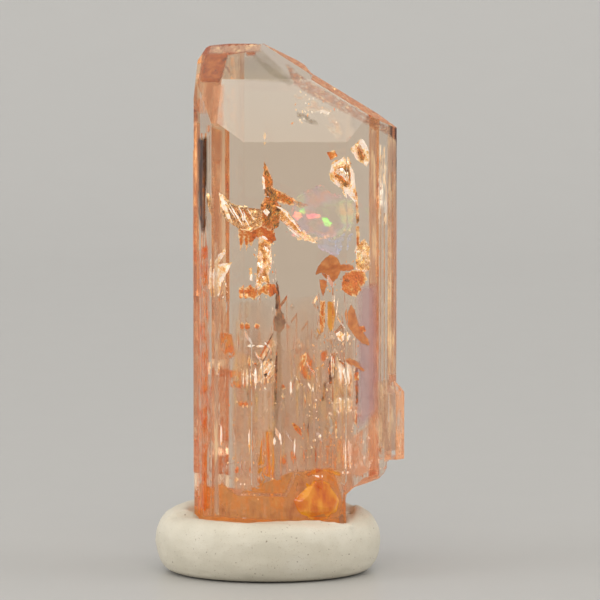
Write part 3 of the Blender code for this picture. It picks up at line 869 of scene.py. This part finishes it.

# Narrow slivers: the two ends and the width, in the photograph's pixels.
# The bright slivers are painted glints: white highlights drawn as glowing slivers.
BRIGHT_STROKES = (
    (344.7, 439, 344.7, 459, 2.0), (350, 451, 350, 467, 2.0), (332.7, 352, 332.7, 383, 1.6),
    (264.8, 499, 264.8, 519, 2.2), (249.3, 429, 249.3, 455, 1.8), (221.2, 424, 221.2, 447, 1.8),
    (247, 368, 247, 389, 2.6), (255.3, 368, 255.3, 389, 2.6), (251, 372, 251, 386, 1.6),
    (247, 346, 255, 345.5, 2.4), (256, 346.4, 264, 346, 2.6), (308, 382, 312, 391, 1.8),
    (313, 385, 314, 392, 1.8), (297, 391, 299, 383, 2.0), (290.8, 380, 290.8, 396, 1.6),
    (274.5, 437, 274.5, 445, 2.2), (339, 366, 341, 382, 1.8), (343, 369, 347, 386, 1.8),
    (294.5, 438, 294.5, 456, 1.4), (313, 440, 315.5, 441, 3.0), (363, 457, 365.5, 458, 3.0),
    (347, 472, 349, 473, 3.0), (244, 494, 245.5, 497, 2.4), (254, 494, 255, 497, 2.4),
    (245.5, 503, 247, 507, 2.6), (244, 512, 246, 515, 3.0), (266, 361, 259, 370, 1.6),
    (272, 362, 264, 372, 1.4), (273, 366, 266, 378, 1.4), (223, 198, 236, 219, 1.2),
    (229, 203, 243, 226, 1.4), (238, 206, 250, 228, 1.2), (247, 208, 258, 226, 1.4),
    (286, 226, 303, 240, 1.6), (276, 206, 290, 213, 1.4), (262, 236, 268, 240, 2.4),
    (264, 246, 269, 252, 3.0), (258, 262, 262, 268, 2.4), (262, 276, 268, 281, 2.4),
    (257, 283, 262, 287, 2.2), (295, 517, 317, 500, 2.6), (303, 486, 312, 475, 2.0),
    (312, 475, 334, 479, 2.0), (331, 178, 342, 189, 2.0), (345, 189, 357, 204, 2.0),
    (331, 165, 338, 160, 2.4), (342, 167, 346, 176, 3.0), (355, 146, 366, 164, 1.6),
    (362, 139, 369, 152, 1.6),
)
DARK_STROKES = (
    (331.2, 350, 331.2, 384, 1.1), (334.2, 350, 334.0, 384, 1.1), (321.8, 322, 321, 335, 1.0),
    (339.2, 388, 343.7, 398, 1.6), (337.7, 359, 346.7, 367, 1.4), (325.6, 381, 324, 401, 1.4),
    (357.3, 371, 357, 404, 1.4), (252, 431, 252, 454, 1.2), (274, 332, 256, 364, 1.8),
    (271, 347, 262, 363, 1.2), (264, 374, 268, 376, 4.0), (226, 202, 240, 225, 1.2),
    (234, 206, 247, 228, 1.2), (243, 208, 255, 228, 1.4), (277, 283, 277, 312, 1.2),
    (277, 345, 275, 412, 2.2), (249, 389, 247, 396, 1.4), (334, 165, 333, 178, 1.6),
    (337, 170, 349, 188, 1.8), (349, 166, 352, 182, 1.6), (337, 162, 348, 164, 1.6),
    (357, 143, 367, 160, 1.6), (308, 420, 308, 444, 1.0), (316, 446, 315, 470, 1.0),
)
ORANGE_STROKES = (
    (315, 402, 315, 409, 3.0), (304.5, 392, 304.5, 411, 1.6), (336, 418, 336, 439, 1.8),
    (356, 410, 356, 428, 2.4), (249.3, 355, 249.3, 367, 3.6), (242, 400, 243, 408, 3.4),
    (283, 384, 283.5, 390, 3.4), (283, 393, 283.5, 400, 3.0), (247, 322, 247.5, 330, 5.0),
    (256, 323, 258, 329, 5.0), (237, 466, 236.5, 474, 2.6), (250.7, 466, 250.7, 475, 3.2),
    (236.7, 477, 236.7, 482, 2.6), (306, 352, 300, 372, 5.0), (265, 137, 264.6, 145, 2.0),
    (295, 424, 302, 434, 3.4), (303, 478, 315, 469, 3.4), (315, 469, 344, 474, 3.4),
)


def clutter():
    """Everything that lies inside the crystal, from the top downwards."""
    # The foils' cream and white stops are painted highlights of the cracks, their dark brown stops are
    # partly painted shade, and all of them glow with painted light.
    golds = ((0.1, BROWN), (0.28, GOLD), (0.45, PALE_GOLD), (0.6, CREAM), (0.85, WHITE))
    crack = foil("crack_foil", *golds, glow=0.3)
    hatches = ((0.15, DARK_BROWN), (0.28, GOLD), (0.42, CREAM), (0.55, GOLD), (0.62, BROWN), (0.8, CREAM))
    hatched = foil("hatched_foil", *hatches, grain=(0.12, 0.3, 1.1), turn=-55.0, glow=0.25)
    bronzes = ((0.1, BROWN), (0.3, OLIVE), (0.45, GOLD), (0.6, ORANGE), (0.85, CREAM))
    bronze = foil("bronze_foil", *bronzes, glow=0.25)
    pale = foil("pale_foil", (0.1, SMOKE), (0.35, GOLD), (0.55, CREAM), (0.75, WHITE), glow=0.3)
    rusts = ((0.1, BROWN), (0.3, (206, 110, 40)), (0.5, ORANGE), (0.7, GOLD), (0.9, CREAM))
    rust = foil("rust_foil", *rusts, glow=0.35, metal=0.3)
    honeys = ((0.1, BROWN), (0.35, DEEP_ORANGE), (0.6, OCHRE), (0.85, PALE_GOLD))
    honey = foil("honey_foil", *honeys, glow=0.4, metal=0.2)
    petals = ((0.05, GOLD), (0.3, PALE_GOLD), (0.5, CREAM), (0.75, WHITE))
    petal = foil("petal_foil", *petals, edge=0.24, glow=0.4, metal=0.4)
    dark = foil("dark_foil", (0.1, DARK_BROWN), (0.45, BROWN), (0.65, SMOKE), (0.9, ORANGE), metal=0.6)
    # Painted glints: white highlights drawn as glowing sheets and slivers.
    bright = foil("painted_glint_foil", (0.2, GOLD), (0.4, CREAM), (0.6, WHITE), glow=0.55, metal=0.3)
    olive = film(
        "olive_film", (0.35, OLIVE), (0.6, SMOKE),
        grain=(0.12, 0.3, 1.2), cover=(0.2, 0.45), most=0.75, fade=0.05, glow=0.2,
    )
    yellow = film(
        "yellow_film", (0.3, (204, 140, 30)), (0.6, (230, 176, 66)),
        grain=(0.3, 0.3, 1.0), cover=(0.1, 0.3), most=0.9, fade=0.06,
    )
    fan = film(
        "fan_film", (0.3, (190, 106, 46)), (0.5, (208, 130, 62)), (0.65, (224, 154, 84)),
        grain=(0.4, 0.4, 0.3), cover=(0.1, 0.3), most=0.95, fade=0.04, glow=0.3,
    )
    for name, material, depth, lean in (
        ("star_spike", bronze, 1.5, (0.8, 0.3)),
        ("star_right", bronze, 1.6, (0.5, 0.5)),
        ("star_heart", bronze, 1.7, (-0.6, 0.6)),
        ("star_down", crack, 1.6, (0.4, 0.6)),
        ("star_left", hatched, 1.5, (-0.35, 0.5)),
        ("star_drips", rust, 1.9, (0.3, -0.6)),
        ("gold_column", crack, 2.0, (0.7, 0.12)),
        ("net_left", rust, 1.9, (0.6, 0.1)),
        ("dark_crack", dark, 2.3, (0.6, 0.1)),
        ("brown_tail", dark, 2.2, (0.5, 0.3)),
        ("olive_line", olive, 2.0, (0.8, 0.0)),
        ("net_middle", rust, 1.9, (0.3, 0.1)),
        ("feather_top", petal, 0.9, (0.5, 0.3)),
        ("feather", petal, 0.9, (0.5, 0.2)),
        ("upper_leaf", petal, 0.45, (0.6, 0.4)),
        ("upper_leaf_heart", bronze, 0.3, (0.6, 0.4)),
        ("upper_leaf_fold", pale, 0.2, (0.6, 0.4)),
        ("side_leaf_heart", bronze, 0.25, (0.3, 0.3)),
        ("side_leaf", petal, 0.4, (0.3, 0.3)),
        ("leaf_knob", rust, 1.2, (0.3, 0.3)),
        ("leaf_stalk", bronze, 0.4, (0.5, 0.0)),
        ("lower_stalk", rust, 0.4, (0.5, 0.0)),
        ("orange_fan", fan, 0.6, (0.3, -0.7)),
        ("fan_drip", fan, 1.3, (0.3, 0.2)),
        ("cluster_right", rust, 0.45, (0.4, 0.4)),
        ("gold_sparkles", crack, 0.4, (0.3, 0.2)),
        ("ochre_leaf", yellow, 1.2, (0.6, 0.1)),
        ("red_stem", rust, 1.4, (0.6, 0.1)),
        ("banana_flake", fan, 0.45, (0.5, 0.3)),
        ("second_flake", fan, 0.45, (0.4, 0.5)),
        ("red_dot", rust, 0.4, (0.3, 0.3)),
        ("lower_red_dot", rust, 0.4, (0.3, 0.3)),
        ("bent_crack", dark, 1.4, (0.7, 0.1)),
        ("short_crack", dark, 1.4, (0.7, 0.1)),
        ("long_crack", dark, 0.5, (0.7, 0.1)),
        ("squiggle", honey, 1.4, (0.4, 0.4)),
    ):
        inclusion(name, material, depth, lean, crumple=0.14, grain=2.6)
    for number, outline in enumerate(GLINTS):
        inclusion(f"glint_{number}", bright, 1.1, (0.4, 0.3), crumple=0.1, grain=2.6, outline=outline)
    strokes("bright_slivers", bright, 0.9, BRIGHT_STROKES)
    strokes("dark_slivers", dark, 1.3, DARK_STROKES)
    strokes("orange_slivers", rust, 1.5, ORANGE_STROKES)
    washes()
    rainbow()
    veils()


def washes():
    """The see-through shells, nets and washes of stain in the crystal's lower half."""
    shell = film(
        "shell_film", (0.3, BROWN), (0.42, PEACH), (0.52, CREAM), (0.62, WHITE),
        grain=(0.16, 0.3, 0.8), cover=(0.3, 0.5), most=0.75, glow=0.4,
    )
    for name in ("brown_sheet", "pink_fan", "glass_fan", "cloud"):
        inclusion(name, shell, 1.5, (0.5, 0.2), crumple=0.1, grain=3.5)
    net = film(
        "rust_net", (0.3, (204, 112, 56)), (0.5, ORANGE), (0.7, GOLD),
        grain=(0.3, 0.3, 0.5), cover=(0.4, 0.5),
    )
    for number, outline in enumerate(STAIN_NETS):
        inclusion(f"stain_net_{number}", net, 1.3, (0.5, 0.2), grain=3.5, outline=outline)
    wash = film(
        "wash_film", (0.35, (208, 136, 76)), (0.6, (220, 156, 96)),
        grain=(0.25, 0.3, 0.8), cover=(0.4, 0.65), most=0.7,
    )
    honey = film(
        "honey_film", (0.3, OCHRE), (0.48, (224, 152, 36)), (0.62, DEEP_ORANGE),
        grain=(0.25, 0.4, 1.6), cover=(0.3, 0.5), glow=0.42,
    )
    inclusion("orange_wash", wash, 0.8, (0.5, 0.0), grain=4.0)
    inclusion("gold_streak", honey, 0.8, (0.5, 0.0), grain=4.0)


def veils():
    """The pale cloud under the slope and the painted shade at its edge."""
    # Painted shade: an olive-grey film at the veil's edge.
    shade = film(
        "painted_veil_shade", (0.4, OLIVE), (0.6, SMOKE),
        grain=(0.3, 0.3, 0.2), cover=(0.36, 0.6), most=0.6, fade=0.12, glow=0.2,
    )
    cloud = film(
        "veil_cloud", (0.4, PEACH), (0.5, CREAM), (0.6, WHITE),
        grain=(0.6, 0.6, 0.4), cover=(0.4, 0.7), most=0.5, fade=0.3,
    )
    inclusion("veil_edge", shade, 1.0, (0.3, 0.3), under=True)
    inclusion("veil_cloud", cloud, 0.8, (0.3, 0.3), under=True)


def rainbow():
    """The open crack to the right of the star, with its bright green and pink spots."""
    pearls = (
        (0.30, (214, 196, 168)),
        (0.40, (196, 206, 176)),
        (0.46, (190, 190, 190)),
        (0.52, (206, 176, 186)),
        (0.58, (226, 178, 160)),
        (0.66, (186, 170, 184)),
    )
    vivid = {"most": 1.0, "fade": 0.08, "cover": (0.1, 0.3), "glow": 0.8}
    faint = rainbow_film("rainbow_film", *pearls)
    pink = rainbow_film("pink_film", (0.4, (255, 120, 180)), (0.6, (250, 186, 160)), **vivid)
    green = rainbow_film("green_film", (0.4, (96, 230, 96)), (0.6, (176, 240, 150)), **vivid)
    edge = rainbow_film("edge_film", (0.4, (250, 190, 190)), (0.6, (250, 220, 170)), most=0.5, fade=0.08)
    blue = rainbow_film("blue_film", (0.4, (180, 190, 214)), (0.6, (204, 184, 200)), most=0.3, fade=0.1)
    for name, material in (
        ("rainbow_crack", faint),
        ("rainbow_tail", blue),
        ("pink_spot", pink),
        ("pink_trail", pink),
        ("green_spot", green),
        ("green_patch", green),
        ("rainbow_lower_edge", edge),
        ("blue_line", blue),
    ):
        inclusion(name, material, 1.3, (0.25, 0.5), grain=4.0)


def stains_and_painted_light():
    """The films under the faces, at the foot and along the broken edges: iron-stained films, with painted
    shade in the olive facets and the dark band at the left, and a painted highlight on the right edge.
    """
    rusty = film(
        "edge_stain", (0.3, PEACH), (0.5, ORANGE), (0.65, RED_ORANGE),
        grain=(0.3, 0.3, 0.9), cover=(0.34, 0.64), most=0.65,
    )
    patch = film(
        "corner_stain", (0.3, BROWN), (0.45, (186, 96, 30)), (0.65, (214, 132, 60)),
        grain=(0.3, 0.3, 0.4), cover=(0.25, 0.4), most=0.92, glow=0.15,
    )
    foot = film(
        "foot_stain", (0.3, (178, 114, 58)), (0.45, (200, 142, 76)), (0.58, (214, 138, 52)), (0.7, GOLD),
        cover=(0.2, 0.38), most=0.74,
    )
    deep = film(
        "lump_stain", (0.35, (212, 100, 0)), (0.48, (226, 134, 0)), (0.62, (240, 176, 50)),
        cover=(0.2, 0.4), most=0.95, glow=0.26,
    )
    soft = film(
        "side_stain", (0.35, (210, 144, 96)), (0.65, PEACH),
        grain=(0.5, 0.5, 1.5), cover=(0.3, 0.6), most=0.5,
    )
    # Painted shade: a near-black film put along the left side, where the crystal looks dark.
    shade = film(
        "dark_stain", (0.3, (58, 24, 8)), (0.55, (84, 40, 16)), (0.7, ORANGE),
        grain=(0.12, 0.2, 2.5), cover=(0.2, 0.34), most=1.0, glow=0.2,
    )
    # Painted shade: a faint olive darkening over the top facets.
    olive = film(
        "painted_olive_shade", (0.4, (120, 100, 60)), (0.6, (150, 130, 88)),
        grain=(1.2, 1.2, 1.2), cover=(0.2, 0.5), most=0.22,
    )
    # Painted highlight: cream and white streaks of light on the right edge, glowing strongly.
    gleam = film(
        "gleam", (0.35, PEACH), (0.5, CREAM), (0.6, WHITE),
        grain=(0.12, 0.2, 1.2), cover=(0.5, 0.6), most=0.8, glow=0.6,
    )
    lilac = film(
        "lilac_zone", (0.4, (180, 144, 152)), (0.6, (194, 160, 162)),
        grain=(0.6, 0.6, 6.0), cover=(0.1, 0.5), most=0.5, fade=0.4, glow=0.3,
    )
    veil = film(
        "peach_veil", (0.35, (198, 156, 124)), (0.5, (206, 170, 140)), (0.6, CREAM),
        grain=(0.3, 0.3, 2.4), cover=(0.2, 0.5), most=0.6, glow=0.3,
    )
    crust = film(
        "etched_crust", (0.35, (170, 108, 70)), (0.48, (198, 138, 98)), (0.56, (204, 126, 70)),
        (0.64, CREAM),
        grain=(0.22, 0.4, 0.16), cover=(0.28, 0.52), most=0.5, glow=0.18,
    )
    skin("slope_crust", on_slope, crust, depth=-0.012)
    skin("side_crystal_crust", on_side_crystals, soft, depth=-0.01)
    skin("lump_crust", on_lump, deep, depth=0.03)
    skin("foot_crust", on_foot, foot, depth=0.03)
    skin("break_crust", on_broken_corner, soft, depth=0.03)
    for name, material, depth, crumple, grain in (
        ("top_left_stain", patch, 0.15, 0.0, 3.0),
        ("top_edge_stain", patch, 0.15, 0.0, 3.0),
        ("slope_rim", crust, 0.2, 0.02, 5.0),
        # The olive facet and band are painted shade.
        ("olive_facet", olive, 0.2, 0.0, 6.0),
        ("olive_band", olive, 0.4, 0.0, 6.0),
        # The right gleam is a painted highlight.
        ("right_gleam", gleam, 0.15, 0.0, 3.0),
        ("top_haze", veil, 0.1, 0.0, 3.0),
        ("right_edge_haze", veil, 0.1, 0.0, 3.0),
        ("right_flank_haze", veil, 0.15, 0.0, 3.0),
        ("side_crystal_haze", veil, 0.1, 0.0, 3.0),
        ("brown_patch", soft, 0.12, 0.0, 3.0),
        ("orange_triangle", rusty, 0.12, 0.0, 3.0),
        # The left dark band is painted shade.
        ("left_dark_band", shade, 0.12, 0.0, 3.0),
        ("left_orange_line", rusty, 0.12, 0.0, 3.0),
        ("peach_strip", soft, 0.12, 0.0, 3.0),
        ("left_strip_stain", rusty, 0.12, 0.0, 6.0),
        ("left_flank_stain", veil, 0.12, 0.0, 6.0),
        ("lower_right_stain", soft, 0.4, 0.05, 5.0),
    ):
        inclusion(name, material, depth, crumple=crumple, grain=grain, under=True)
    inclusion("lilac_zone", lilac, 0.5, grain=6.0)
    inclusion("foot_band", foot, 0.5, crumple=0.1, grain=5.0, outline=FOOT_BAND)
    inclusion("foot_band_back", foot, 3.2, crumple=0.1, grain=5.0, outline=FOOT_BAND)
    inclusion("rust_arc", deep, 0.3, under=True)
    inclusion("lump_glow", deep, 0.15, crumple=0.05, under=True)


def on_slope(spot, normal):
    """Whether a face of the crystal is the long slope at the top."""
    return normal.x > 0.4 and normal.z > 0.7


def on_side_crystals(spot, normal):
    """Whether a face belongs to the small crystals on the right side."""
    return spot.x > 5.37 and spot.z < 10.5


def on_lump(spot, normal):
    """Whether a face belongs to the lump at the front of the foot."""
    share = Vector((gap / side for gap, side in zip(spot - Vector(LUMP_CENTRE), Vector(LUMP_REACH))))
    return share.length < 1.0 and spot.y < LUMP_BACK


def on_foot(spot, normal):
    """Whether a face is on the underside of the foot."""
    return normal.z < -0.6 and spot.z < 4.0


def on_broken_corner(spot, normal):
    """Whether a face is on the broken corner at the lower right."""
    return normal.z < -0.05 and 4.0 < spot.z < 6.2 and spot.x > 2.8


def streaks():
    """The upright growth streaks of the lower half, in three layers."""
    layers = ((0.7, SMOKE, PALE_GOLD, PEACH), (2.2, BROWN, PEACH, SMOKE), (3.9, OLIVE, PEACH, ORANGE))
    for number, (depth, *tones) in enumerate(layers):
        material = growth_streaks(number, *tones)
        inclusion(f"streaks_{number}", material, depth, crumple=0.1, grain=7.0, outline=STREAK_FIELD)


def haze():
    """The cloudy peach body of the lower half, behind the front growth streaks."""
    # Emission of 0.3 is painted light: the haze glows though it is no lamp.
    shader = Shader("lower_haze", Roughness=0.6, Emission_Strength=0.3)
    bands = shader.noise(shader.stretched(0.9, 3.0, 5.0), detail=2.0, roughness=0.5)
    rise = shader.noise(shader.stretched(1.6, 3.0, 4.0, offset=(7.0, 0.0, 2.0)), detail=2.0)
    colour = shader.ramp(bands, (0.35, (188, 158, 130)), (0.55, (206, 178, 150)), (0.7, (218, 196, 170)))
    cover = (shader.along("Z") + rise * 8.0).over(18.5, 12.5) * shader.attribute("rim").over(0.0, 0.3)
    material = shader.paint(Base_Color=colour, Emission_Color=colour, Alpha=cover * 0.45)
    inclusion("lower_haze", material, 1.9, crumple=0.1, grain=7.0, outline=STREAK_FIELD)


def putty():
    """The putty disc, pressed up round the crystal's foot."""
    bm = merged("putty_base")
    add_collar(bm)
    rough = finished(bm, "putty_rough", None)
    remesh = rough.modifiers.new("one_body", "REMESH")
    remesh.mode = "VOXEL"
    remesh.voxel_size = PUTTY_GRAIN * MM
    graph = bpy.context.evaluated_depsgraph_get()
    mesh = bpy.data.meshes.new_from_object(rough.evaluated_get(graph))
    bpy.data.objects.remove(rough)
    bm = bmesh.new()
    bm.from_mesh(mesh)
    for _ in range(3):
        bmesh.ops.smooth_vert(
            bm, verts=bm.verts, factor=0.5, use_axis_x=True, use_axis_y=True, use_axis_z=True
        )
    for vert in bm.verts:
        spot = vert.co / MM
        radius = math.hypot(spot.x - PUTTY_MIDDLE, spot.y * PUTTY_NARROWER)
        near = max(0.0, 1.0 - abs(radius - RING_RADIUS) / RING_WIDTH)
        if spot.z > PRESSED_ABOVE and spot.y < -1.0:
            vert.co.z -= (spot.z - PRESSED_ABOVE) * PRESSED_SHARE * near * MM
        if spot.z > FLAT_BELOW:
            lump = sum(noise.noise(spot * often) * high for often, high in PUTTY_LUMPS)
            vert.co += vert.normal * lump * MM
    return belongs(finished(bm, "putty", putty_skin(), smooth=True), "putty", "putty_base")


def add_collar(bm):
    """The putty squeezed against the crystal's sides, which closes the seat's gap."""
    collar = merged("topaz_crystal")
    for height, clear_outer in zip(COLLAR_HEIGHTS, (False, True)):
        bmesh.ops.bisect_plane(
            collar,
            geom=collar.verts[:] + collar.edges[:] + collar.faces[:],
            plane_co=mm(0.0, 0.0, height),
            plane_no=(0.0, 0.0, 1.0),
            clear_outer=clear_outer,
            clear_inner=not clear_outer,
        )
    bmesh.ops.solidify(collar, geom=collar.faces[:], thickness=-COLLAR_THICKNESS * MM)
    bmesh.ops.recalc_face_normals(collar, faces=collar.faces)
    ring = bpy.data.meshes.new("collar")
    collar.to_mesh(ring)
    collar.free()
    bm.from_mesh(ring)


def write_sizes():
    """The solids' box and the dressed part's box, side by side; they are not written anywhere."""
    pair = {"cad": cad_box, "visual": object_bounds()}
    boxes = {name: [list(corner) for corner in box] for name, box in pair.items()}


def set_renderer():
    """Enough bounces for light to find its way through the crystal, and plain colours on screen."""
    cycles = bpy.context.scene.cycles
    cycles.max_bounces = 32
    cycles.transmission_bounces = 32
    cycles.glossy_bounces = 12
    cycles.diffuse_bounces = 4
    cycles.transparent_max_bounces = 32
    cycles.use_denoising = True
    cycles.sample_clamp_indirect = 8.0
    bpy.context.scene.view_settings.view_transform = "Standard"


set_camera()
set_stage()
set_renderer()
crystal()
haze()
streaks()
clutter()
stains_and_painted_light()
sparks()
putty()
write_sizes()
